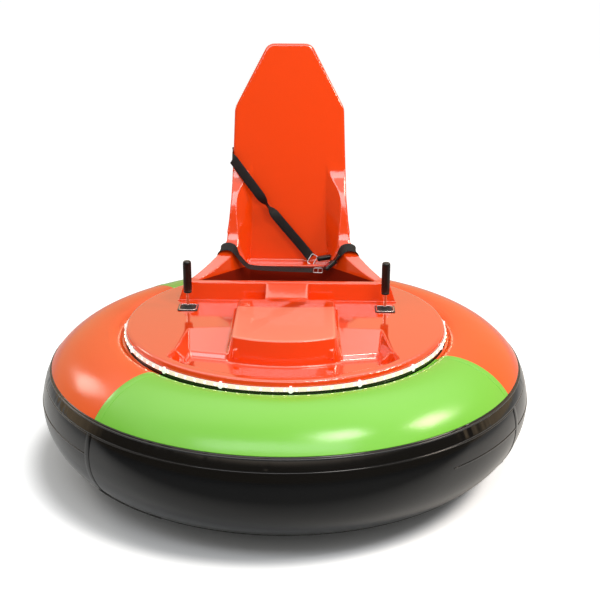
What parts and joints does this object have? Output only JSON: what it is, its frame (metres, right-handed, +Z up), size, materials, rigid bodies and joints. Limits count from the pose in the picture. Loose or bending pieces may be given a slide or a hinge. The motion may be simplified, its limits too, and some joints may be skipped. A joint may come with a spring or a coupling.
{
  "type": "inflatable bumper car",
  "caption": "Round amusement bumper car: air-filled ring round a moulded deck and high-back seat, two hand levers, lap and shoulder belt, drive wheels and casters below.",
  "frame": {"origin": "on the floor under the middle of the ring", "axes": "+Z up, the car's front and the driver's view towards -Y, +X to the driver's left"},
  "size_m": [1.8, 1.7996, 1.4546],
  "materials": {
    "ring_black": "gloss",
    "cover_orange": "gloss",
    "cover_green": "gloss",
    "moulding_orange": "gloss",
    "lamp_white": "gloss",
    "clip_white": "satin",
    "steel_black": "satin",
    "steel_bare": "brushed",
    "stem_chrome": "polished",
    "grip_black": "satin",
    "boot_rubber": "matte",
    "tyre_black": "matte",
    "hub_aluminium": "cast",
    "roller_grey": "matte",
    "battery_black": "matte",
    "webbing_black": "woven",
    "buckle_black": "satin"
  },
  "bodies": {
    "root": {"ring_tube": "ring_black", "ring_cover_orange": "cover_orange", "ring_cover_green": "cover_green", "ring_apron": "ring_black", "deck_moulding": "moulding_orange", "seat_moulding": "moulding_orange", "lamp_strip": "lamp_white", "lamp_strip_clips": "clip_white", "lever_plates": "steel_bare", "lever_boots": "boot_rubber", "lever_brackets": "steel_black", "gearmotors": "steel_black", "caster_mounts": "steel_bare", "belt_shoulder": "webbing_black", "belt_lap_left": "webbing_black", "belt_lap_right": "webbing_black", "belt_tongue": "steel_bare", "belt_buckle": "buckle_black", "belt_anchors": "steel_black", "chassis_frame": "steel_black", "battery_tray": "steel_black", "batteries": "battery_black", "controller_box": "hub_aluminium"},
    "drive_wheel_left": {"drive_tyre_left": "tyre_black", "drive_hub_left": "hub_aluminium"},
    "drive_wheel_right": {"drive_tyre_right": "tyre_black", "drive_hub_right": "hub_aluminium"},
    "caster_front": {"caster_fork_front": "steel_bare"},
    "caster_roller_front": {"caster_wheel_front": "roller_grey"},
    "caster_rear": {"caster_fork_rear": "steel_bare"},
    "caster_roller_rear": {"caster_wheel_rear": "roller_grey"},
    "lever_left": {"lever_stem_left": "stem_chrome", "lever_grip_left": "grip_black"},
    "lever_right": {"lever_stem_right": "stem_chrome", "lever_grip_right": "grip_black"}
  },
  "joints": [
    {"name": "drive_wheel_left_spin", "type": "hinge", "parent": "root", "child": "drive_wheel_left", "pos_m": [0.268, 0, 0.1], "axis": [1, 0, 0], "continuous": true},
    {"name": "drive_wheel_right_spin", "type": "hinge", "parent": "root", "child": "drive_wheel_right", "pos_m": [-0.268, 0, 0.1], "axis": [1, 0, 0], "continuous": true},
    {"name": "caster_front_swivel", "type": "hinge", "parent": "root", "child": "caster_front", "pos_m": [0, -0.27, 0.12], "axis": [0, 0, 1], "continuous": true},
    {"name": "caster_front_roll", "type": "hinge", "parent": "caster_front", "child": "caster_roller_front", "pos_m": [0, -0.236, 0.05], "axis": [1, 0, 0], "continuous": true},
    {"name": "caster_rear_swivel", "type": "hinge", "parent": "root", "child": "caster_rear", "pos_m": [0, 0.27, 0.12], "axis": [0, 0, 1], "continuous": true},
    {"name": "caster_rear_roll", "type": "hinge", "parent": "caster_rear", "child": "caster_roller_rear", "pos_m": [0, 0.304, 0.05], "axis": [1, 0, 0], "continuous": true},
    {"name": "lever_left_tilt", "type": "hinge", "parent": "root", "child": "lever_left", "pos_m": [0.376, 0.114, 0.496], "axis": [1, 0, 0], "range_deg": [-20, 20], "stiffness_Nm_per_rad": 3},
    {"name": "lever_right_tilt", "type": "hinge", "parent": "root", "child": "lever_right", "pos_m": [-0.376, 0.114, 0.496], "axis": [1, 0, 0], "range_deg": [-20, 20], "stiffness_Nm_per_rad": 3}
  ]
}
